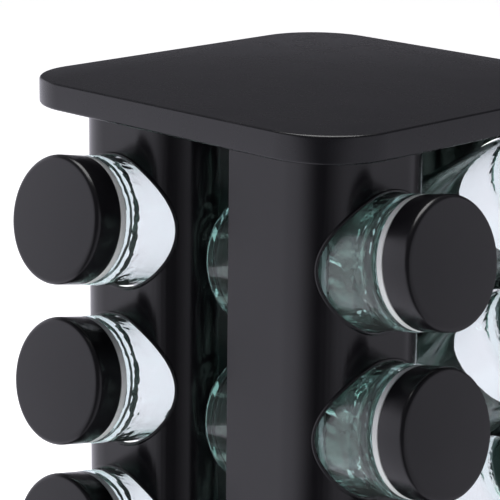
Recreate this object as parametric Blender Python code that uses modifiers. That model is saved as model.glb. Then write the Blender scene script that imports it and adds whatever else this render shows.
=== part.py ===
"""Revolving countertop spice carousel: a square tower of four punched channels on a ball-bearing foot,
with sixteen tilted glass jars. Metres, +Z up, origin on the worktop under the spin axis."""

import math

import bmesh
import bpy
from mathutils import Matrix

MM = 0.001

# Footprint and tower
LID_SIDE = 175.0
LID_THICK = 10.6
LID_CORNER_R = 29.0
EDGE_ROUND = 0.8
TOWER_HALF = 72.0  # spin axis to the outer face of a channel's web
LID_TOP = 315.8
BASE_TOP = 25.8
GAP = 0.3  # left between pieces that touch
ROUND_SIDES = 48

# Bent sheet channels
SHEET = 1.2
BEND_R = 23.0
BEND_STEPS = 6
WEB_WIDTH = 64.4
WIDE_FLANGE = 51.0
NARROW_FLANGE = 27.0
RETURN_DEPTH = 31.0
HOLE_R = 26.3
HOLE_SIDES = 32
PUNCH_LENGTH = 30.0

# Jars, measured along each jar's own axis from an upright plane just inside the web
JAR_DATUM = 69.6  # spin axis to that plane
ROWS = 4
FIRST_ROW_DROP = 54.2  # lid top down to the first row of holes
ROW_PITCH = 64.6
JAR_OFFSET = 41.0  # sideways, from the spin axis to a jar's axis
TILT = math.radians(10.6)
SIDES = 16
CAP_FRONT = 36.0
CAP_BACK = 23.5
CAP_R = 24.9
CAP_BORE_R = 22.7
CAP_CEILING = 33.3
CAP_ROUND = 1.5
SIFTER_TOP = 33.0
SIFTER_R = 22.4
SIFTER_BORE_R = 21.5
SIFTER_CEILING = 31.8
RING_FRONT = 23.2
RING_BACK = 20.6
SHAKE_HOLES = 5
SHAKE_HOLE_R = 2.2
SHAKE_CIRCLE_R = 9.0
SHAKE_HOLE_SIDES = 6
DRILL_LENGTH = 6.0
JAR_R = 25.2
JAR_WALL = 2.2
JAR_BASE = -69.3
NECK_R = 21.2
NECK_BORE_R = 19.0
NECK_TOP = 31.5
SHOULDER = 20.3
SHOULDER_R = 2.3
HEEL_R = 3.5
PUNT = 0.8  # hollow under the jar
FLOOR_THICK = 4.0
FLOOR_R = 2.8  # between the jar's floor and its wall, inside

# Foot and bearing
FOOT_R = 70.0
FOOT_UNDER = 0.8
FOOT_TOP = 8.0
FOOT_CHAMFER = 1.5
SPINDLE_R = 6.0
SPINDLE_TOP = 24.0
SPINDLE_CHAMFER = 0.8
BORE_REACH = 5.0  # how far the bore's cutter stands proud of the plate
PAD_IN, PAD_OUT, PAD_TOP = 58.0, 66.0, 2.2
RACE_IN, RACE_OUT, RACE_THICK = 40.0, 52.0, 1.7
GROOVE_DEPTH, GROOVE_HALF, GROOVE_FLOOR_HALF = 0.5, 2.2, 1.0
CAGE_HALF_WIDTH, CAGE_HALF_THICK = 3.0, 0.5
BALL_CIRCLE_R = 46.0
BALL_R = 1.4
BALLS = 12
TIE_ROD_R = 4.0
TIE_ROD_SIDES = 12

LETTERS = "abcd"  # webs facing +X, +Y, -X, -Y


def clear_scene():
    for obj in list(bpy.data.objects):
        bpy.data.objects.remove(obj, do_unlink=True)


def new_collection(name, hidden=False):
    group = bpy.data.collections.new(name)
    bpy.context.scene.collection.children.link(group)
    group.hide_render = hidden
    return group


def material(name, colour, rough, metallic=0.0, transmission=0.0):
    made = bpy.data.materials.new(name)
    made.use_nodes = True
    shader = made.node_tree.nodes["Principled BSDF"]
    shader.inputs["Base Color"].default_value = (*colour, 1.0)
    shader.inputs["Roughness"].default_value = rough
    shader.inputs["Metallic"].default_value = metallic
    shader.inputs["Transmission Weight"].default_value = transmission
    return made


def mesh_from(name, points, faces=(), edges=()):
    mesh = bpy.data.meshes.new(name)
    mesh.from_pydata([[value * MM for value in point] for point in points], edges, faces)
    return mesh


def add(name, mesh, group, look=None):
    obj = bpy.data.objects.new(name, mesh)
    group.objects.link(obj)
    if look and not mesh.materials:
        mesh.materials.append(look)
    return obj


def revolve(name, profile, group, look, sides=SIDES, closed=False):
    """Turns a profile of (radius, height) points about Z. It runs down the outer side."""
    points = [(radius, 0.0, height) for radius, height in profile]
    last = len(points) - 1
    edges = [(i, i + 1) for i in range(last) if points[i][0] or points[i + 1][0]]
    if closed:
        edges.append((last, 0))
    obj = add(name, mesh_from(name, points, edges=edges), group, look)
    screw = obj.modifiers.new("Turn", "SCREW")
    screw.steps = screw.render_steps = sides
    screw.use_merge_vertices = True
    screw.merge_threshold = 1e-5
    screw.use_smooth_shade = True
    return obj


def baked(obj, name):
    """The object's mesh with its modifiers applied, for copies to share."""
    graph = bpy.context.evaluated_depsgraph_get()
    mesh = bpy.data.meshes.new_from_object(obj.evaluated_get(graph))
    mesh.name = name
    return mesh


def as_cutter(obj):
    obj.hide_render = True
    obj.display_type = "WIRE"
    return obj


def boolean(obj, other, operation):
    step = obj.modifiers.new(operation.title(), "BOOLEAN")
    step.operation = operation
    step.solver = "EXACT"
    step.object = other


def from_bmesh(name, shape, group, look=None):
    mesh = bpy.data.meshes.new(name)
    shape.to_mesh(mesh)
    shape.free()
    return add(name, mesh, group, look)


def drum(shape, radius, length, sides):
    """Adds a solid cylinder about the Z axis and returns its points."""
    made = bmesh.ops.create_cone(shape, cap_ends=True, segments=sides, depth=length * MM,
                                 radius1=radius * MM, radius2=radius * MM)
    return made["verts"]


def move(shape, verts, x, y, z):
    bmesh.ops.translate(shape, verts=verts, vec=(x * MM, y * MM, z * MM))


def arc(centre, start_deg):
    """A bend's quarter turn from start_deg, counter-clockwise."""
    turns = [math.radians(start_deg + 90.0 * i / BEND_STEPS) for i in range(BEND_STEPS + 1)]
    return [(centre[0] + BEND_R * math.cos(a), centre[1] + BEND_R * math.sin(a)) for a in turns]


def row_height(row):
    return LID_TOP - FIRST_ROW_DROP - ROW_PITCH * row


def column_mesh(name, flange):
    """The outer face of a channel whose web faces +X, open towards the spin axis."""
    front = -TOWER_HALF
    back = front + WEB_WIDTH
    path = [(TOWER_HALF - flange, front)]
    path += arc((TOWER_HALF - BEND_R, front + BEND_R), -90)
    path += arc((TOWER_HALF - BEND_R, back - BEND_R), 0)
    path.append((TOWER_HALF - RETURN_DEPTH, back))
    low, high = BASE_TOP + GAP, LID_TOP - LID_THICK - GAP
    points = [(x, y, low) for x, y in path] + [(x, y, high) for x, y in path]
    count = len(path)
    faces = [(i, i + 1, count + i + 1, count + i) for i in range(count - 1)]
    return mesh_from(name, points, faces)


def hole_cutter(name, group):
    """Four level punches, each centred where its jar's axis passes through the middle of the sheet."""
    rise = (TOWER_HALF - SHEET / 2 - JAR_DATUM) * math.tan(TILT)
    level = Matrix.Rotation(math.pi / 2, 3, "Y")
    shape = bmesh.new()
    for row in range(ROWS):
        verts = drum(shape, HOLE_R, PUNCH_LENGTH, HOLE_SIDES)
        bmesh.ops.rotate(shape, verts=verts, cent=(0, 0, 0), matrix=level)
        move(shape, verts, TOWER_HALF, -JAR_OFFSET, row_height(row) + rise)
    return as_cutter(from_bmesh(name, shape, group))


def add_columns(group, cutters, look):
    for k, letter in enumerate(LETTERS):
        turn = math.radians(90 * k)
        cutter = hole_cutter(f"cut_holes_{letter}", cutters)
        cutter.rotation_euler.z = turn
        flange = WIDE_FLANGE if k % 2 == 0 else NARROW_FLANGE
        name = f"column_{letter}"
        obj = add(name, column_mesh(name, flange), group, look)
        obj.rotation_euler.z = turn
        sheet = obj.modifiers.new("Sheet", "SOLIDIFY")
        sheet.thickness = SHEET * MM
        sheet.offset = -1.0
        sheet.use_even_offset = True
        boolean(obj, cutter, "DIFFERENCE")


def plate(name, low, high, group, look):
    """A square plate with round corners and softened edges."""
    shape = bmesh.new()
    bmesh.ops.create_cube(shape, size=1.0)
    bmesh.ops.scale(shape, vec=(LID_SIDE * MM, LID_SIDE * MM, (high - low) * MM), verts=shape.verts)
    move(shape, shape.verts, 0, 0, (low + high) / 2)
    upright = [e for e in shape.edges if abs(e.verts[0].co.z - e.verts[1].co.z) > 1e-6]
    bmesh.ops.bevel(shape, geom=upright, offset=LID_CORNER_R * MM, segments=8, profile=0.5, affect="EDGES")
    obj = from_bmesh(name, shape, group, look)
    soften = obj.modifiers.new("Soften", "BEVEL")
    soften.width = EDGE_ROUND * MM
    soften.segments = 2
    soften.limit_method = "ANGLE"
    soften.angle_limit = math.radians(60)
    return obj


def add_foot(group, looks):
    foot = [(0, SPINDLE_TOP), (SPINDLE_R - SPINDLE_CHAMFER, SPINDLE_TOP),
            (SPINDLE_R, SPINDLE_TOP - SPINDLE_CHAMFER), (SPINDLE_R, FOOT_TOP),
            (FOOT_R - FOOT_CHAMFER, FOOT_TOP), (FOOT_R, FOOT_TOP - FOOT_CHAMFER),
            (FOOT_R, FOOT_UNDER), (PAD_OUT + GAP, FOOT_UNDER), (PAD_OUT + GAP, PAD_TOP + GAP),
            (PAD_IN - GAP, PAD_TOP + GAP), (PAD_IN - GAP, FOOT_UNDER), (0, FOOT_UNDER)]
    revolve("foot_disc", foot, group, looks["black"], ROUND_SIDES)
    revolve("foot_pad", ring(PAD_IN, PAD_OUT, 0.0, PAD_TOP), group, looks["rubber"], ROUND_SIDES, True)


def ring(inner, outer, low, high):
    return [(outer, high), (outer, low), (inner, low), (inner, high)]


def grooved_ring(low, high, groove_up):
    """A bearing race, with a shallow ball groove on its upper or its lower side."""
    rim = ring(RACE_IN, RACE_OUT, low, high)
    groove = [(BALL_CIRCLE_R - GROOVE_HALF, 0), (BALL_CIRCLE_R - GROOVE_FLOOR_HALF, -GROOVE_DEPTH),
              (BALL_CIRCLE_R + GROOVE_FLOOR_HALF, -GROOVE_DEPTH), (BALL_CIRCLE_R + GROOVE_HALF, 0)]
    if groove_up:
        return rim + [(radius, high + drop) for radius, drop in groove]
    return rim[:2] + [(radius, low - drop) for radius, drop in reversed(groove)] + rim[2:]


def add_bearing(group, cutters, looks):
    low = FOOT_TOP + GAP
    revolve("race_lower", grooved_ring(low, low + RACE_THICK, True), group, looks["steel"], ROUND_SIDES, True)
    high = BASE_TOP - LID_THICK - GAP
    revolve("race_upper", grooved_ring(high - RACE_THICK, high, False), group, looks["steel"],
            ROUND_SIDES, True)
    middle = (low + high) / 2
    band = ring(BALL_CIRCLE_R - CAGE_HALF_WIDTH, BALL_CIRCLE_R + CAGE_HALF_WIDTH,
                middle - CAGE_HALF_THICK, middle + CAGE_HALF_THICK)
    cage = revolve("ball_cage", band, group, looks["brass"], ROUND_SIDES, True)
    shape = bmesh.new()
    for i in range(BALLS):
        angle = 2 * math.pi * (i + 0.5) / BALLS
        made = bmesh.ops.create_uvsphere(shape, u_segments=8, v_segments=6, radius=BALL_R * MM)
        move(shape, made["verts"], BALL_CIRCLE_R * math.cos(angle), BALL_CIRCLE_R * math.sin(angle), middle)
    boolean(cage, as_cutter(from_bmesh("balls", shape, cutters)), "UNION")


def add_base_plate(group, cutters, look):
    base = plate("base_plate", BASE_TOP - LID_THICK, BASE_TOP, group, look)
    high, low = BASE_TOP + BORE_REACH, BASE_TOP - LID_THICK - BORE_REACH
    bore = [(0, high), (SPINDLE_R + GAP, high), (SPINDLE_R + GAP, low), (0, low)]
    boolean(base, as_cutter(revolve("cut_bore", bore, cutters, look, ROUND_SIDES)), "DIFFERENCE")


def jar_profile():
    low, floor = JAR_BASE, JAR_BASE + FLOOR_THICK
    inner = JAR_R - JAR_WALL
    heel = HEEL_R * (1 - math.sqrt(0.5))
    return [(NECK_R, NECK_TOP), (NECK_R, SHOULDER), (JAR_R - SHOULDER_R, SHOULDER),
            (JAR_R, SHOULDER - SHOULDER_R), (JAR_R, low + HEEL_R), (JAR_R - heel, low + heel),
            (JAR_R - HEEL_R, low), (0, low + PUNT), (0, floor), (inner - FLOOR_R, floor),
            (inner, floor + FLOOR_R), (inner, SHOULDER - 2 * SHOULDER_R),
            (NECK_BORE_R, SHOULDER - SHOULDER_R / 2), (NECK_BORE_R, NECK_TOP)]


def cap_profile():
    return [(0, CAP_FRONT), (CAP_R - CAP_ROUND, CAP_FRONT), (CAP_R, CAP_FRONT - CAP_ROUND), (CAP_R, CAP_BACK),
            (CAP_BORE_R, CAP_BACK), (CAP_BORE_R, CAP_CEILING), (0, CAP_CEILING)]


def sifter_profile():
    return [(0, SIFTER_TOP), (SIFTER_R, SIFTER_TOP), (SIFTER_R, RING_FRONT), (CAP_R, RING_FRONT),
            (CAP_R, RING_BACK), (SIFTER_BORE_R, RING_BACK), (SIFTER_BORE_R, SIFTER_CEILING),
            (0, SIFTER_CEILING)]


def shake_hole_cutter(group):
    shape = bmesh.new()
    for i in range(SHAKE_HOLES):
        angle = 2 * math.pi * i / SHAKE_HOLES
        verts = drum(shape, SHAKE_HOLE_R, DRILL_LENGTH, SHAKE_HOLE_SIDES)
        move(shape, verts, SHAKE_CIRCLE_R * math.cos(angle), SHAKE_CIRCLE_R * math.sin(angle), SIFTER_TOP)
    return as_cutter(from_bmesh("cut_shake_holes", shape, group))


def jar_meshes(cutters, looks):
    """One mesh each for the glass, the sifter and the cap, shared by the sixteen jars."""
    glass = revolve("glass_shape", jar_profile(), cutters, looks["glass"], closed=True)
    cap = revolve("cap_shape", cap_profile(), cutters, looks["cap"])
    sifter = revolve("sifter_shape", sifter_profile(), cutters, looks["sifter"])
    boolean(sifter, shake_hole_cutter(cutters), "DIFFERENCE")
    shapes = {"jar": glass, "sifter": sifter, "cap": cap}
    bpy.context.view_layer.update()
    meshes = {kind: baked(obj, f"{kind}_mesh") for kind, obj in shapes.items()}
    for obj in shapes.values():
        bpy.data.objects.remove(obj, do_unlink=True)
    return meshes


def add_jars(group, cutters, looks):
    meshes = jar_meshes(cutters, looks)
    for k, letter in enumerate(LETTERS):
        turn = math.radians(90 * k)
        across = (JAR_DATUM * math.cos(turn) + JAR_OFFSET * math.sin(turn),
                  JAR_DATUM * math.sin(turn) - JAR_OFFSET * math.cos(turn))
        for row in range(ROWS):
            for kind, mesh in meshes.items():
                obj = add(f"{kind}_{letter}{row + 1}", mesh, group)
                obj.location = (across[0] * MM, across[1] * MM, row_height(row) * MM)
                obj.rotation_euler = (0.0, math.pi / 2 - TILT, turn)


def add_tie_rod(group, look):
    low, high = BASE_TOP + GAP, LID_TOP - LID_THICK - GAP
    rod = [(0, high), (TIE_ROD_R, high), (TIE_ROD_R, low), (0, low)]
    revolve("tie_rod", rod, group, look, TIE_ROD_SIDES)


def main():
    clear_scene()
    parts = new_collection("spice_carousel")
    cutters = new_collection("cutters", hidden=True)
    looks = {
        "black": material("satin_black", (0.035, 0.035, 0.04), 0.35),
        "cap": material("cap_black", (0.03, 0.03, 0.033), 0.4),
        "sifter": material("sifter_grey", (0.6, 0.61, 0.62), 0.35),
        "glass": material("jar_glass", (0.9, 0.97, 0.95), 0.02, 0.0, 1.0),
        "steel": material("bearing_steel", (0.6, 0.6, 0.6), 0.3, 1.0),
        "brass": material("cage_brass", (0.6, 0.45, 0.2), 0.35, 1.0),
        "rubber": material("foot_rubber", (0.03, 0.03, 0.03), 0.8),
    }
    add_foot(parts, looks)
    add_bearing(parts, cutters, looks)
    add_base_plate(parts, cutters, looks["black"])
    add_columns(parts, cutters, looks["black"])
    plate("lid", LID_TOP - LID_THICK, LID_TOP, parts, looks["black"])
    add_tie_rod(parts, looks["steel"])
    add_jars(parts, cutters, looks)


main()
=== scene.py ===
"""Looks for the spice carousel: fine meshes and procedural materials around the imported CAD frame.
Metres, +Z up. Jar pieces are modelled upright, +Z along the jar's axis, then laid into their holes."""

import math

import bmesh
import bpy
from mathutils import Matrix, Vector

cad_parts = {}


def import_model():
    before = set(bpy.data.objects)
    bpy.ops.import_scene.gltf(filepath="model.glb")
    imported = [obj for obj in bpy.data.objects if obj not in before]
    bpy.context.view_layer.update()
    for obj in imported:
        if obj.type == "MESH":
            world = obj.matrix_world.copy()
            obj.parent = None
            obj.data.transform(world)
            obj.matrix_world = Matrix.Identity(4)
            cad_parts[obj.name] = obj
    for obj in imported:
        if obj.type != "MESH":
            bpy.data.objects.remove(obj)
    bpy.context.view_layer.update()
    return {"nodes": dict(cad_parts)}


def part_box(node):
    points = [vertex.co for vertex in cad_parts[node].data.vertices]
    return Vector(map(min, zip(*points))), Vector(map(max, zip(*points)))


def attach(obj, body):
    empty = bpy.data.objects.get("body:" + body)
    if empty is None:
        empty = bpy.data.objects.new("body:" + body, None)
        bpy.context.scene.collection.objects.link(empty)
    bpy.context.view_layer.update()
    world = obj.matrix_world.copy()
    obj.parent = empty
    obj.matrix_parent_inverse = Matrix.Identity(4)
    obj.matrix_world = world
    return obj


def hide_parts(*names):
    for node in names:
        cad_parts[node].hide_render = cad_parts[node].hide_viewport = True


MM = 0.001

# Lid, base and foot
CORNER_R = 29.0
CORNER_STEPS = 24
EDGE_ROUND = 1.2
EDGE_STEPS = 5
BORE_R = 6.3  # clears the foot's spindle
GAP = 0.3  # left between touching pieces

# Bent channels
TOWER_HALF = 72.0
SHEET = 1.2
BEND_R = 23.0
BEND_STEPS = 18
WEB_WIDTH = 64.4
FLANGES = {"a": 51.0, "b": 27.0, "c": 51.0, "d": 27.0}
RETURN_DEPTH = 31.0
HOLE_R = 26.4
PUNCH_LENGTH = 30.0
PAINT_ROUND = 0.3  # how much the paint softens cut edges
PAINT_EDGE_DEG = 40.0
BEAD_R = 0.75  # the rolled bead around each jar hole
BEAD_SIDES = 12

# Jars, heights along the jar's own axis from an upright plane just inside the web
JAR_DATUM = 69.6
LETTERS = "abcd"  # webs facing +X, +Y, -X, -Y
ROWS = 4
LID_TOP = 315.8
FIRST_ROW_DROP = 54.2
ROW_PITCH = 64.6
JAR_OFFSET = 41.0
TILT = math.radians(10.6)
CAP_FRONT, CAP_BACK, CAP_CEILING = 35.7, 23.5, 33.3
CAP_R, CAP_BORE_R, CAP_ROUND = 24.9, 22.7, 2.3
SIFTER_TOP, SIFTER_CEILING = 33.0, 31.8
SIFTER_R, SIFTER_BORE_R = 22.4, 21.5
RING_FRONT, RING_BACK = 23.2, 20.6
SHAKE_HOLES, SHAKE_HOLE_R, SHAKE_CIRCLE_R = 5, 2.2, 9.0
JAR_R, JAR_WALL, JAR_BASE = 25.2, 2.2, -69.3
FOOT_RING, PUSH_UP, FLOOR_THICK = 6.0, 1.0, 3.0  # the ring a jar stands on, and its raised floor
HEEL_R, FLOOR_R = 3.4, 3.6
NECK_R, NECK_BORE_R, NECK_TOP, SHOULDER = 21.2, 19.0, 31.5, 20.3
SHOULDER_R, SHOULDER_INNER_R = 2.2, 6.0
ROUND_SIDES = 96
SHAKE_HOLE_SIDES = 20
DRILL_LENGTH = 6.0

# Studio seen in reflections. Levels are relative to the white background. Angles are in degrees from the
# dark stretch, and pairs of numbers are where a soft edge starts and ends.
DARK_AZIMUTH = -57.0  # middle of the dark stretch behind the camera, from +X
CARD_FULL = 52.0  # angle at which the pale cards on either side are fully bright
CARD_LEFT, CARD_RIGHT = 0.95, 0.49
CARD_CROSSOVER = (-0.4, 0.4)  # sine of the angle over which the left card gives way to the right one
CARD_REACH = (0.45, 0.80)  # sine of the angle past which a card also rises above the horizon
CARD_TOP = (0.35, 0.60)
HORIZON = (-0.06, 0.06)
FLAG = (126.0, 134.0, 157.0, 164.0)  # a black flag behind the object: where it fades in, and out again
FLAG_SIDE = (0.0, 0.2)  # it stands on the right only
FLAG_DEPTH = 0.85
ABOVE_LEFT, ABOVE_RIGHT = 0.08, 0.04
ABOVE_CROSSOVER = (-0.6, 0.4)
AMBIENT = 0.04
REFLECTED_HUE = (1.0, 0.98, 1.10)

# The same studio behind glass
BEYOND = (0.15, 0.50)  # how squarely a ray must point away from the camera to see white
BEYOND_HEIGHT = (0.45, 0.70)  # and how level it must be
THROUGH_GLASS = 1.28
THROUGH_HUE = (1.16, 0.93, 1.06)
ROOM_THROUGH_GLASS = 1.25
ROOM_HUE = (0.95, 1.04, 1.02)

# Materials
NOISE_SPAN = (0.3, 0.7)  # what noise mostly reaches, for roughness
RAMP_SPAN = (0.35, 0.65)  # and for colours
GRAIN_HEIGHT = 0.00001
TUCK_BLEND = 4.0  # half the width of the change to duller paint inside a channel's bend
TUCK_FROM, TUCK_TO = -68.0, -60.0
TUCK_DULLNESS = 0.14
GLASS_ABSORBS = (0.25, 0.76, 0.70)
RIPPLE_START, RIPPLE_FULL = 4.0, 14.0  # heights on the jar, just below its shoulder

# Stage
FLOOR_SIZE = 8.0
FLOOR_GLOW = 0.75
OVERHEAD_PLACE, OVERHEAD_SIDE, OVERHEAD_WATTS = (-0.2, 0.1, 1.9), 1.2, 22.0
OBJECT_MIDDLE = (0, 0, 0.16)

# Camera
CAMERA_AZIMUTH, CAMERA_ELEVATION, CAMERA_ROLL = 44.965, 14.78, 0.651
CAMERA_LENS = 163.93
CAMERA_PLACE = (0.606524, -0.646725, 0.478926)


# ---------- meshes ----------

def finish_mesh(name, shape, sharp_deg=35.0):
    """Turns a bmesh into a mesh with outward normals, smooth where it is round."""
    bmesh.ops.recalc_face_normals(shape, faces=shape.faces)
    mesh = bpy.data.meshes.new(name)
    shape.to_mesh(mesh)
    shape.free()
    mesh.shade_smooth()
    mesh.set_sharp_from_angle(angle=math.radians(sharp_deg))
    return mesh


def as_mesh(name, shape):
    """Turns a bmesh into a flat-shaded mesh, normals as built."""
    mesh = bpy.data.meshes.new(name)
    shape.to_mesh(mesh)
    shape.free()
    return mesh


def add(name, data):
    obj = bpy.data.objects.new(name, data)
    bpy.context.scene.collection.objects.link(obj)
    return obj


def even_normals(obj):
    """Keeps flat faces flat beside small roundings."""
    weighted = obj.modifiers.new("Even", "WEIGHTED_NORMAL")
    weighted.keep_sharp = True


def baked(obj):
    """Applies the object's modifiers to its mesh."""
    graph = bpy.context.evaluated_depsgraph_get()
    mesh = bpy.data.meshes.new_from_object(obj.evaluated_get(graph))
    obj.modifiers.clear()
    obj.data = mesh
    return obj


def rounded(corners, steps):
    """A closed outline from (across, along, radius) corners, each turned into an arc of that radius."""
    points = []
    count = len(corners)
    for i, (x, z, radius) in enumerate(corners):
        here = Vector((x, z))
        before = Vector(corners[i - 1][:2]) - here
        after = Vector(corners[(i + 1) % count][:2]) - here
        if not radius or x == 0:
            points.append((x, z))
            continue
        half = before.angle(after) / 2
        reach = radius / math.tan(half)
        centre = here + (before.normalized() + after.normalized()).normalized() * (radius / math.sin(half))
        first = here + before.normalized() * reach - centre
        last = here + after.normalized() * reach - centre
        turn = first.angle_signed(last)
        for step in range(steps + 1):
            arm = Matrix.Rotation(-turn * step / steps, 2) @ first
            points.append((centre.x + arm.x, centre.y + arm.y))
    return points


def revolved(name, outline, sharp_deg):
    """Turns a closed outline of (radius, height) in millimetres about Z."""
    shape = bmesh.new()
    columns = []
    for side in range(ROUND_SIDES):
        angle = 2 * math.pi * side / ROUND_SIDES
        column = []
        for i, (radius, height) in enumerate(outline):
            if radius == 0 and side:
                column.append(columns[0][i])
                continue
            spot = (radius * math.cos(angle) * MM, radius * math.sin(angle) * MM, height * MM)
            column.append(shape.verts.new(spot))
        columns.append(column)
    count = len(outline)
    for side in range(ROUND_SIDES):
        left, right = columns[side], columns[(side + 1) % ROUND_SIDES]
        for i in range(count):
            j = (i + 1) % count
            corners = []
            for vert in (left[i], right[i], right[j], left[j]):
                if vert not in corners:
                    corners.append(vert)
            if len(corners) > 2:
                shape.faces.new(corners)
    return finish_mesh(name, shape, sharp_deg)


def quarter_arc(centre, radius, start_deg, steps):
    """Points along a quarter of a circle, counter-clockwise."""
    turns = [math.radians(start_deg) + math.pi / 2 * step / steps for step in range(steps + 1)]
    return [(centre[0] + radius * math.cos(turn), centre[1] + radius * math.sin(turn)) for turn in turns]


def square_outline(half, corner):
    """A square with round corners, counter-clockwise."""
    reach = half - corner
    points = []
    for quarter, (across, along) in enumerate(((1, 1), (-1, 1), (-1, -1), (1, -1))):
        points += quarter_arc((reach * across, reach * along), corner, 90 * quarter, CORNER_STEPS)
    return points


def plate_mesh(name, half, low, high, bore=0.0):
    """A square plate with round corners, softened edges and, if asked, a central bore."""
    rings = []
    for step in range(EDGE_STEPS + 1):
        angle = math.pi / 2 * step / EDGE_STEPS
        rings.append((EDGE_ROUND * (1 - math.sin(angle)), low + EDGE_ROUND * (1 - math.cos(angle))))
    rings += [(inset, high - (height - low)) for inset, height in reversed(rings)]
    shape = bmesh.new()
    loops = []
    for inset, height in rings:
        outline = square_outline(half - inset, CORNER_R - inset)
        loops.append([shape.verts.new((x * MM, y * MM, height * MM)) for x, y in outline])
    for lower, upper in zip(loops, loops[1:]):
        for i in range(len(lower)):
            j = (i + 1) % len(lower)
            shape.faces.new((lower[i], lower[j], upper[j], upper[i]))
    if bore:
        count = len(loops[0])
        turns = [math.atan2(vert.co.y, vert.co.x) for vert in loops[0]]
        circles = []
        for height in (low, high):
            spots = [(bore * math.cos(turn) * MM, bore * math.sin(turn) * MM, height * MM) for turn in turns]
            circles.append([shape.verts.new(spot) for spot in spots])
        for i in range(count):
            j = (i + 1) % count
            shape.faces.new((loops[-1][i], loops[-1][j], circles[1][j], circles[1][i]))
            shape.faces.new((circles[1][i], circles[1][j], circles[0][j], circles[0][i]))
            shape.faces.new((circles[0][i], circles[0][j], loops[0][j], loops[0][i]))
    else:
        shape.faces.new(loops[-1])
        shape.faces.new(list(reversed(loops[0])))
    return finish_mesh(name, shape)


def row_height(row):
    """Height at which a row's jar axes cross the datum plane."""
    return LID_TOP - FIRST_ROW_DROP - ROW_PITCH * row


def hole_centre(row):
    """Middle of a hole in metres, raised by the jar's slope between the datum plane and mid-sheet."""
    rise = (TOWER_HALF - SHEET / 2 - JAR_DATUM) * math.tan(TILT)
    return (TOWER_HALF * MM, -JAR_OFFSET * MM, (row_height(row) + rise) * MM)


def column_shell(name, flange, low, high):
    """The outer face of a channel whose web faces +X."""
    front = -TOWER_HALF
    back = front + WEB_WIDTH
    path = [(TOWER_HALF - flange, front)]
    path += quarter_arc((TOWER_HALF - BEND_R, front + BEND_R), BEND_R, -90, BEND_STEPS)
    path += quarter_arc((TOWER_HALF - BEND_R, back - BEND_R), BEND_R, 0, BEND_STEPS)
    path.append((TOWER_HALF - RETURN_DEPTH, back))
    shape = bmesh.new()
    lower = [shape.verts.new((x * MM, y * MM, low * MM)) for x, y in path]
    upper = [shape.verts.new((x * MM, y * MM, high * MM)) for x, y in path]
    for i in range(len(path) - 1):
        shape.faces.new((lower[i], lower[i + 1], upper[i + 1], upper[i]))
    return add(name, as_mesh(name, shape))


def drum(shape, radius, length, sides):
    """Adds a closed cylinder along Z to the bmesh and returns its vertices (sizes in mm)."""
    made = bmesh.ops.create_cone(shape, cap_ends=True, segments=sides, depth=length * MM,
                                 radius1=radius * MM, radius2=radius * MM)
    return made["verts"]


def cut_with(obj, shape):
    """Cuts the bmesh out of the object with a Boolean modifier and returns the cutter."""
    cutter = add("cutter", as_mesh("cutter", shape))
    cut = obj.modifiers.new("Holes", "BOOLEAN")
    cut.operation = "DIFFERENCE"
    cut.solver = "EXACT"
    cut.object = cutter
    return cutter


def punch(obj):
    """Cuts the four jar holes, each centred where its jar's axis passes through the middle of the sheet."""
    shape = bmesh.new()
    for row in range(ROWS):
        verts = drum(shape, HOLE_R, PUNCH_LENGTH, ROUND_SIDES)
        bmesh.ops.rotate(shape, verts=verts, cent=(0, 0, 0), matrix=Matrix.Rotation(math.pi / 2, 3, "Y"))
        bmesh.ops.translate(shape, verts=verts, vec=hole_centre(row))
    return cut_with(obj, shape)


def web_face(across):
    """How far out the web's outer face lies, and which way it faces, at a place across the web (mm)."""
    low, high = BEND_R - TOWER_HALF, WEB_WIDTH - BEND_R - TOWER_HALF
    past = min(across - low, 0.0) + max(across - high, 0.0)
    rise = math.sqrt(BEND_R ** 2 - past ** 2)
    return TOWER_HALF - BEND_R + rise, Vector((rise, past, 0)) / BEND_R


def add_beads(mesh):
    """A rolled bead around each jar hole, following the web's bends."""
    shape = bmesh.new()
    shape.from_mesh(mesh)
    reach = HOLE_R + BEAD_R / 2
    for row in range(ROWS):
        middle = hole_centre(row)[2] / MM
        loops = []
        for step in range(ROUND_SIDES):
            angle = 2 * math.pi * step / ROUND_SIDES
            radial = Vector((0, math.cos(angle), math.sin(angle)))
            across = reach * radial.y - JAR_OFFSET
            depth, out = web_face(across)
            spot = Vector((depth, across, middle + reach * radial.z))
            radial = (radial - out * radial.dot(out)).normalized()
            turns = [2 * math.pi * i / BEAD_SIDES for i in range(BEAD_SIDES)]
            loops.append([shape.verts.new((spot + BEAD_R * (out * math.cos(a) + radial * math.sin(a))) * MM)
                          for a in turns])
        for one, other in zip(loops, loops[1:] + loops[:1]):
            for i in range(BEAD_SIDES):
                j = (i + 1) % BEAD_SIDES
                shape.faces.new((one[i], one[j], other[j], other[i]))
    bmesh.ops.recalc_face_normals(shape, faces=shape.faces)
    shape.to_mesh(mesh)
    shape.free()


def make_column(letter, low, high, look):
    """A bent channel with four beaded holes, turned to its own side of the tower."""
    obj = column_shell(f"channel_{letter}", FLANGES[letter], low, high)
    sheet = obj.modifiers.new("Sheet", "SOLIDIFY")
    sheet.thickness = SHEET * MM
    sheet.offset = -1.0
    sheet.use_even_offset = True
    cutter = punch(obj)
    edge = obj.modifiers.new("Paint_edge", "BEVEL")
    edge.width = PAINT_ROUND * MM
    edge.segments = 2
    edge.limit_method = "ANGLE"
    edge.angle_limit = math.radians(PAINT_EDGE_DEG)
    baked(obj)
    bpy.data.objects.remove(cutter, do_unlink=True)
    add_beads(obj.data)
    obj.data.shade_smooth()
    even_normals(obj)
    baked(obj)
    obj.data.materials.append(look)
    obj.rotation_euler.z = math.radians(90 * LETTERS.index(letter))
    return obj


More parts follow.
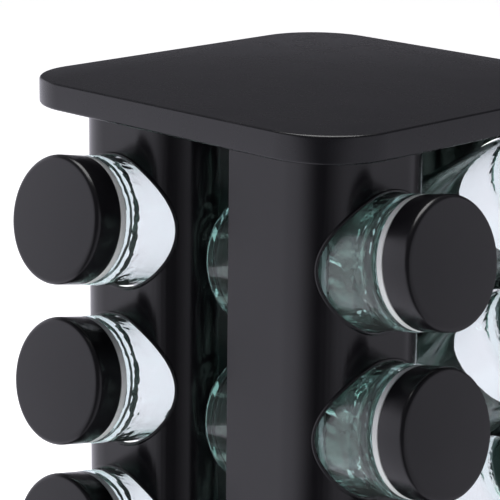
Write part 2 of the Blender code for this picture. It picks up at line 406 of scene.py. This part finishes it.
def jar_mesh():
    """Corners run down the outside, across the raised floor and up the inside."""
    low, inner = JAR_BASE, JAR_R - JAR_WALL
    floor = low + PUSH_UP + FLOOR_THICK
    corners = [(NECK_R, NECK_TOP, 0.8), (NECK_R, SHOULDER, 0.4), (JAR_R, SHOULDER - 0.6, SHOULDER_R),
               (JAR_R, low, HEEL_R), (JAR_R - FOOT_RING, low, 1.2),
               (JAR_R - FOOT_RING - 3.0, low + 0.9, 1.5), (0, low + PUSH_UP, 0),
               (0, floor, 0), (inner, floor - 0.4, FLOOR_R),
               (inner, SHOULDER - 6.5, SHOULDER_INNER_R), (NECK_BORE_R, SHOULDER - 1.6, 2.5),
               (NECK_BORE_R, NECK_TOP, 0.8)]
    return revolved("jar_mesh", rounded(corners, steps=7), sharp_deg=80.0)


def cap_mesh():
    """Corners run from the middle of the front, down the outside and up the bore."""
    corners = [(0, CAP_FRONT, 0), (CAP_R, CAP_FRONT, CAP_ROUND), (CAP_R, CAP_BACK, 0.35),
               (CAP_BORE_R, CAP_BACK, 0.3), (CAP_BORE_R, CAP_CEILING, 0.6), (0, CAP_CEILING, 0)]
    return revolved("cap_mesh", rounded(corners, steps=6), sharp_deg=50.0)


def sifter_mesh():
    """A hollow plug with a flange that shows as a pale ring, and a ring of shaker holes in its top."""
    corners = [(0, SIFTER_TOP, 0), (SIFTER_R, SIFTER_TOP, 0.4), (SIFTER_R, RING_FRONT, 0.3),
               (CAP_R, RING_FRONT, 0.35), (CAP_R, RING_BACK, 0.35), (SIFTER_BORE_R, RING_BACK, 0.2),
               (SIFTER_BORE_R, SIFTER_CEILING, 0.3), (0, SIFTER_CEILING, 0)]
    obj = add("sifter_blank", revolved("sifter_blank", rounded(corners, steps=4), sharp_deg=50.0))
    shape = bmesh.new()
    for i in range(SHAKE_HOLES):
        angle = 2 * math.pi * i / SHAKE_HOLES
        spot = (SHAKE_CIRCLE_R * math.cos(angle) * MM, SHAKE_CIRCLE_R * math.sin(angle) * MM, SIFTER_TOP * MM)
        bmesh.ops.translate(shape, verts=drum(shape, SHAKE_HOLE_R, DRILL_LENGTH, SHAKE_HOLE_SIDES), vec=spot)
    cutter = cut_with(obj, shape)
    baked(obj)
    made = obj.data
    bpy.data.objects.remove(cutter, do_unlink=True)
    bpy.data.objects.remove(obj, do_unlink=True)
    return made


# ---------- materials ----------

def new_material(name):
    made = bpy.data.materials.new(name)
    made.use_nodes = True
    tree = made.node_tree
    return made, tree, tree.nodes["Principled BSDF"]


def coordinates(tree):
    """The piece's own coordinates, in metres."""
    return tree.nodes.new("ShaderNodeTexCoord").outputs["Object"]


def noise(tree, where, scale, detail=3.0, rough=0.5):
    node = tree.nodes.new("ShaderNodeTexNoise")
    node.inputs["Scale"].default_value = scale
    node.inputs["Detail"].default_value = detail
    node.inputs["Roughness"].default_value = rough
    tree.links.new(where, node.inputs["Vector"])
    return node.outputs["Fac"]


def ramp(tree, factor, low, high):
    """A colour between two, following noise."""
    node = tree.nodes.new("ShaderNodeValToRGB")
    for element, place, colour in zip(node.color_ramp.elements, RAMP_SPAN, (low, high)):
        element.position = place
        element.color = (*colour, 1.0)
    tree.links.new(factor, node.inputs["Fac"])
    return node.outputs["Color"]


def spread(tree, factor, low, high):
    """Stretches noise to run from low to high."""
    node = tree.nodes.new("ShaderNodeMapRange")
    for key, number in zip(("From Min", "From Max", "To Min", "To Max"), (*NOISE_SPAN, low, high)):
        node.inputs[key].default_value = number
    tree.links.new(factor, node.inputs["Value"])
    return node.outputs["Result"]


def bump(tree, height, distance, strength=1.0, after=None):
    node = tree.nodes.new("ShaderNodeBump")
    node.inputs["Strength"].default_value = strength
    node.inputs["Distance"].default_value = distance
    tree.links.new(height, node.inputs["Height"])
    if after is not None:
        tree.links.new(after, node.inputs["Normal"])
    return node.outputs["Normal"]


def tucked_away(tree, where):
    """1 on a channel's return and on the tower's side of its bends, 0 on the faces that show."""
    spot = tree.nodes.new("ShaderNodeSeparateXYZ")
    tree.links.new(where, spot.inputs[0])
    x, y, _ = spot.outputs
    bend = TOWER_HALF - BEND_R
    inner = smooth(tree, x, (bend + TUCK_BLEND) * MM, (bend - TUCK_BLEND) * MM)
    return times(tree, inner, smooth(tree, y, TUCK_FROM * MM, TUCK_TO * MM))


def satin_black(name, dark, light, rough, grain, grain_height=GRAIN_HEIGHT, column=False, shine=0.5):
    """Black paint or moulding: faint mottling between two colours, uneven gloss and a fine grain."""
    made, tree, shader = new_material(name)
    where = coordinates(tree)
    mottling = noise(tree, where, scale=35.0, detail=4.0)
    tree.links.new(ramp(tree, mottling, dark, light), shader.inputs["Base Color"])
    gloss = spread(tree, noise(tree, where, scale=90.0, detail=5.0, rough=0.6), *rough)
    if column:
        gloss = math_node(tree, "ADD", gloss, times(tree, tucked_away(tree, where), TUCK_DULLNESS))
    tree.links.new(gloss, shader.inputs["Roughness"])
    shader.inputs["Specular IOR Level"].default_value = shine
    fine = bump(tree, noise(tree, where, scale=grain, detail=2.0), distance=grain_height)
    swell = noise(tree, where, scale=grain / 8, detail=1.0)
    broad = bump(tree, swell, distance=grain_height * 2, strength=0.5, after=fine)
    tree.links.new(broad, shader.inputs["Normal"])
    return made


def jar_glass():
    """Pressed clear glass: teal in its thick edges, wavy, with strong ripples at the shoulder."""
    made, tree, shader = new_material("jar_glass")
    where = coordinates(tree)
    shader.inputs["Transmission Weight"].default_value = 0.97
    shader.inputs["IOR"].default_value = 1.5
    shader.inputs["Roughness"].default_value = 0.0
    clouds = noise(tree, where, scale=25.0, detail=2.0)
    teal = ramp(tree, clouds, (0.900, 0.972, 0.960), (0.925, 0.980, 0.970))
    tree.links.new(teal, shader.inputs["Base Color"])
    height = tree.nodes.new("ShaderNodeSeparateXYZ")
    tree.links.new(where, height.inputs[0])
    shoulder = smooth(tree, height.outputs["Z"], RIPPLE_START * MM, RIPPLE_FULL * MM)
    ripples = times(tree, noise(tree, where, scale=110.0, detail=2.0), shoulder)
    waves = bump(tree, noise(tree, where, scale=30.0, detail=1.0), distance=0.00014)
    swirls = bump(tree, noise(tree, where, scale=160.0, detail=2.0), distance=0.00003, after=waves)
    tree.links.new(bump(tree, ripples, distance=0.0009, after=swirls), shader.inputs["Normal"])
    inside = tree.nodes.new("ShaderNodeVolumeAbsorption")
    inside.inputs["Color"].default_value = (*GLASS_ABSORBS, 1.0)
    inside.inputs["Density"].default_value = 50.0
    tree.links.new(inside.outputs[0], tree.nodes["Material Output"].inputs["Volume"])
    return made


def sifter_plastic():
    """Pale grey moulding that lets a little light in."""
    made, tree, shader = new_material("sifter_plastic")
    where = coordinates(tree)
    clouds = noise(tree, where, scale=60.0)
    tree.links.new(ramp(tree, clouds, (0.62, 0.64, 0.64), (0.68, 0.70, 0.70)), shader.inputs["Base Color"])
    tree.links.new(spread(tree, noise(tree, where, scale=300.0), 0.25, 0.38), shader.inputs["Roughness"])
    shader.inputs["Subsurface Weight"].default_value = 0.15
    shader.inputs["Subsurface Radius"].default_value = (0.003, 0.003, 0.003)
    tree.links.new(bump(tree, noise(tree, where, scale=900.0), distance=0.00002), shader.inputs["Normal"])
    return made


def metal(name, low, high, rough):
    """Plain metal with faint clouding and a fine grain."""
    made, tree, shader = new_material(name)
    where = coordinates(tree)
    shader.inputs["Metallic"].default_value = 1.0
    tree.links.new(ramp(tree, noise(tree, where, scale=120.0), low, high), shader.inputs["Base Color"])
    tree.links.new(spread(tree, noise(tree, where, scale=400.0), *rough), shader.inputs["Roughness"])
    tree.links.new(bump(tree, noise(tree, where, scale=1500.0), distance=0.00002), shader.inputs["Normal"])
    return made


def make_looks():
    return {
        "column": satin_black("column_paint", (0.0035, 0.0033, 0.0045), (0.0050, 0.0047, 0.0060),
                              rough=(0.17, 0.22), grain=1400.0, column=True),
        "lid": satin_black("lid_paint", (0.0040, 0.0040, 0.0055), (0.0060, 0.0058, 0.0075),
                           rough=(0.24, 0.29), grain=1400.0),
        "cap": satin_black("cap_plastic", (0.0055, 0.0053, 0.0065), (0.0075, 0.0072, 0.0085),
                           rough=(0.22, 0.27), grain=2200.0, shine=0.42),
        "sifter": sifter_plastic(),
        "glass": jar_glass(),
        "steel": metal("bearing_steel", (0.52, 0.52, 0.53), (0.62, 0.62, 0.63), rough=(0.25, 0.4)),
        "brass": metal("cage_brass", (0.55, 0.40, 0.17), (0.65, 0.48, 0.22), rough=(0.3, 0.45)),
        "rubber": satin_black("foot_rubber", (0.018, 0.018, 0.018), (0.03, 0.03, 0.03),
                              rough=(0.75, 0.9), grain=600.0, grain_height=0.0001),
    }


# ---------- pieces ----------

def settle(obj, body, node, look=None):
    """Puts the object on its body in place of its CAD node."""
    if look:
        obj.data.materials.append(look)
    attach(obj, body)
    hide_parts(node)
    return obj


def jar_matrix(side, row):
    """Lays an upright jar piece into its hole on one of the four sides."""
    turn = Matrix.Rotation(math.radians(90 * side), 4, "Z")
    place = Matrix.Translation((JAR_DATUM * MM, -JAR_OFFSET * MM, row_height(row) * MM))
    return turn @ place @ Matrix.Rotation(math.pi / 2 - TILT, 4, "Y")


def add_jars(looks):
    """Sixteen jars, each with its sifter and cap, sharing one mesh for each kind of piece."""
    meshes = {"jar": jar_mesh(), "sifter": sifter_mesh(), "cap": cap_mesh()}
    meshes["jar"].materials.append(looks["glass"])
    meshes["sifter"].materials.append(looks["sifter"])
    meshes["cap"].materials.append(looks["cap"])
    for side, letter in enumerate(LETTERS):
        for row in range(ROWS):
            tag = f"{letter}{row + 1}"
            for kind, mesh in meshes.items():
                obj = add(f"fine_{kind}_{tag}", mesh)
                obj.matrix_world = jar_matrix(side, row)
                settle(obj, f"{kind}_set_{tag}", f"{kind}_{tag}")


def heights(node):
    """A node's lowest and highest points in mm."""
    low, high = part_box(node)
    return low[2] / MM, high[2] / MM


def add_tower(looks):
    """Lid, base plate and the four channels between them."""
    low, high = heights("lid")
    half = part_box("lid")[1][0] / MM
    lid = add("fine_lid", plate_mesh("fine_lid", half, low, high))
    settle(lid, "tower", "lid", looks["lid"])
    base_low, base_high = heights("base_plate")
    base = add("fine_base", plate_mesh("fine_base", half, base_low, base_high, BORE_R))
    settle(base, "tower", "base_plate", looks["lid"])
    for letter in LETTERS:
        obj = make_column(letter, base_high + GAP, low - GAP, looks["column"])
        settle(obj, "tower", f"column_{letter}")


def add_floor():
    """A pale floor that glows a little, so that it stays white, and that reflections don't see."""
    shape = bmesh.new()
    bmesh.ops.create_grid(shape, x_segments=1, y_segments=1, size=FLOOR_SIZE)
    floor = add("floor", as_mesh("floor", shape))
    made, _, shader = new_material("floor_white")
    shader.inputs["Base Color"].default_value = (0.85, 0.85, 0.85, 1.0)
    shader.inputs["Roughness"].default_value = 0.9
    shader.inputs["Emission Color"].default_value = (1.0, 1.0, 1.0, 1.0)
    shader.inputs["Emission Strength"].default_value = FLOOR_GLOW
    floor.data.materials.append(made)
    floor.visible_glossy = False
    floor.visible_transmission = False


def carry_materials(frame, looks):
    """Gives the CAD nodes that stay as they are their looks."""
    kept = {"foot_disc": "lid", "foot_pad": "rubber", "race_lower": "steel", "race_upper": "steel",
            "ball_cage": "brass", "tie_rod": "steel"}
    for node, look in kept.items():
        data = frame["nodes"][node].data
        data.materials.clear()
        data.materials.append(looks[look])


# ---------- light and camera ----------

def add_overhead_light():
    """One soft square light above and a little behind the object."""
    lamp = bpy.data.lights.new("overhead", "AREA")
    lamp.shape = "RECTANGLE"
    lamp.size = lamp.size_y = OVERHEAD_SIDE
    lamp.energy = OVERHEAD_WATTS
    obj = add("overhead", lamp)
    obj.location = OVERHEAD_PLACE
    obj.rotation_euler = (Vector(OBJECT_MIDDLE) - Vector(OVERHEAD_PLACE)).to_track_quat("-Z", "Y").to_euler()


def math_node(tree, kind, *values):
    """A Math node on numbers or other nodes' outputs."""
    node = tree.nodes.new("ShaderNodeMath")
    node.operation = kind
    for socket, value in zip(node.inputs, values):
        if isinstance(value, (int, float)):
            socket.default_value = value
        else:
            tree.links.new(value, socket)
    return node.outputs[0]


def smooth(tree, value, start, end, low=0.0, high=1.0):
    """An S-curve from low at start to high at end."""
    node = tree.nodes.new("ShaderNodeMapRange")
    node.interpolation_type = "SMOOTHSTEP"
    for key, number in (("From Min", start), ("From Max", end), ("To Min", low), ("To Max", high)):
        node.inputs[key].default_value = number
    tree.links.new(value, node.inputs["Value"])
    return node.outputs["Result"]


def times(tree, *values):
    product = values[0]
    for value in values[1:]:
        product = math_node(tree, "MULTIPLY", product, value)
    return product


def band(tree, value, rise_start, rise_end, fall_start, fall_end):
    """1 between rise_end and fall_start, fading to 0 on either side."""
    return times(tree, smooth(tree, value, rise_start, rise_end), smooth(tree, value, fall_end, fall_start))


def bearings(tree, x, y):
    """Cosine, sine and absolute angle in degrees of a direction's azimuth, counted from the dark stretch."""
    flat = math_node(tree, "SQRT", math_node(tree, "ADD", times(tree, x, x), times(tree, y, y)))
    middle = math.radians(DARK_AZIMUTH)
    cos, sin = math.cos(middle), math.sin(middle)
    ahead = math_node(tree, "DIVIDE", math_node(tree, "ADD", times(tree, x, cos), times(tree, y, sin)), flat)
    side = math_node(tree, "SUBTRACT", times(tree, y, cos), times(tree, x, sin))
    right = math_node(tree, "DIVIDE", side, flat)
    safe = math_node(tree, "MINIMUM", math_node(tree, "MAXIMUM", ahead, -1.0), 1.0)
    turn = math_node(tree, "MULTIPLY", math_node(tree, "ARCCOSINE", safe), 180 / math.pi)
    return ahead, right, turn


def mirrored_level(tree, right, turn, z):
    """Brightness that reflections see: cards left and right, dark near the camera, dim overhead."""
    cards = times(tree, smooth(tree, turn, 0.0, CARD_FULL),
                  smooth(tree, right, *CARD_CROSSOVER, CARD_LEFT, CARD_RIGHT))
    flag = times(tree, band(tree, turn, *FLAG), smooth(tree, right, *FLAG_SIDE), FLAG_DEPTH)
    level = times(tree, cards, math_node(tree, "SUBTRACT", 1.0, flag))
    reach = smooth(tree, math_node(tree, "ABSOLUTE", right), *CARD_REACH)
    raised = times(tree, level, reach, smooth(tree, z, *CARD_TOP, 1.0, 0.0))
    overhead = smooth(tree, right, *ABOVE_CROSSOVER, ABOVE_LEFT, ABOVE_RIGHT)
    blend = tree.nodes.new("ShaderNodeMix")
    tree.links.new(smooth(tree, z, *HORIZON), blend.inputs["Factor"])
    tree.links.new(level, blend.inputs["A"])
    tree.links.new(math_node(tree, "ADD", raised, overhead), blend.inputs["B"])
    return math_node(tree, "ADD", blend.outputs["Result"], AMBIENT)


def studio_levels(tree, where):
    """What reflections see, what shows behind glass (white beyond the object, otherwise the dim room), and
    how far a ray points beyond the object."""
    parts = tree.nodes.new("ShaderNodeSeparateXYZ")
    tree.links.new(where, parts.inputs[0])
    x, y, z = parts.outputs
    ahead, right, turn = bearings(tree, x, y)
    mirrored = mirrored_level(tree, right, turn, z)
    beyond = times(tree, smooth(tree, math_node(tree, "SUBTRACT", 0.0, ahead), *BEYOND),
                   smooth(tree, math_node(tree, "ABSOLUTE", z), *BEYOND_HEIGHT, 1.0, 0.0))
    room = times(tree, mirrored, math_node(tree, "SUBTRACT", 1.0, beyond), ROOM_THROUGH_GLASS)
    behind_glass = math_node(tree, "ADD", times(tree, beyond, THROUGH_GLASS), room)
    return mirrored, behind_glass, beyond


def tint(tree, factor, low, high):
    """A colour between two, each given as numbers or as another node's output."""
    node = tree.nodes.new("ShaderNodeMix")
    node.data_type = "RGBA"
    tree.links.new(factor, node.inputs["Factor"])
    colours = [socket for socket in node.inputs if socket.type == "RGBA"]
    for socket, value in zip(colours, (low, high)):
        if isinstance(value, tuple):
            socket.default_value = (*value, 1.0)
        else:
            tree.links.new(value, socket)
    return [socket for socket in node.outputs if socket.type == "RGBA"][0]


def make_world():
    """White to the eye; reflections and glass see the studio."""
    world = bpy.data.worlds.new("studio")
    bpy.context.scene.world = world
    world.use_nodes = True
    tree = world.node_tree
    tree.nodes.clear()
    where = tree.nodes.new("ShaderNodeTexCoord").outputs["Generated"]
    mirrored, behind_glass, beyond = studio_levels(tree, where)
    path = tree.nodes.new("ShaderNodeLightPath")
    by_glass, by_eye = path.outputs["Is Transmission Ray"], path.outputs["Is Camera Ray"]
    unseen = tree.nodes.new("ShaderNodeMix")
    tree.links.new(by_glass, unseen.inputs["Factor"])
    tree.links.new(mirrored, unseen.inputs["A"])
    tree.links.new(behind_glass, unseen.inputs["B"])
    level = tree.nodes.new("ShaderNodeMix")
    tree.links.new(by_eye, level.inputs["Factor"])
    tree.links.new(unseen.outputs["Result"], level.inputs["A"])
    level.inputs["B"].default_value = 1.0
    unseen_hue = tint(tree, by_glass, REFLECTED_HUE, tint(tree, beyond, ROOM_HUE, THROUGH_HUE))
    shader = tree.nodes.new("ShaderNodeBackground")
    tree.links.new(tint(tree, by_eye, unseen_hue, (1.0, 1.0, 1.0)), shader.inputs["Color"])
    tree.links.new(level.outputs["Result"], shader.inputs["Strength"])
    out = tree.nodes.new("ShaderNodeOutputWorld")
    tree.links.new(shader.outputs[0], out.inputs["Surface"])


def make_camera():
    data = bpy.data.cameras.new("camera")
    data.lens = CAMERA_LENS
    data.sensor_width = 36.0
    obj = add("camera", data)
    azimuth, elevation = math.radians(CAMERA_AZIMUTH), math.radians(CAMERA_ELEVATION)
    back = Vector((math.sin(azimuth) * math.cos(elevation), -math.cos(azimuth) * math.cos(elevation),
                   math.sin(elevation)))
    right = Vector((0, 0, 1)).cross(back).normalized()
    up = back.cross(right)
    axes = Matrix((right, up, back)).transposed().to_4x4()
    obj.matrix_world = (Matrix.Translation(CAMERA_PLACE) @ axes
                        @ Matrix.Rotation(math.radians(CAMERA_ROLL), 4, "Z"))
    bpy.context.scene.camera = obj


def main():
    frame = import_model()
    looks = make_looks()
    add_tower(looks)
    add_jars(looks)
    carry_materials(frame, looks)
    add_floor()
    make_world()
    add_overhead_light()
    make_camera()
    bpy.context.scene.view_settings.view_transform = "Standard"


main()
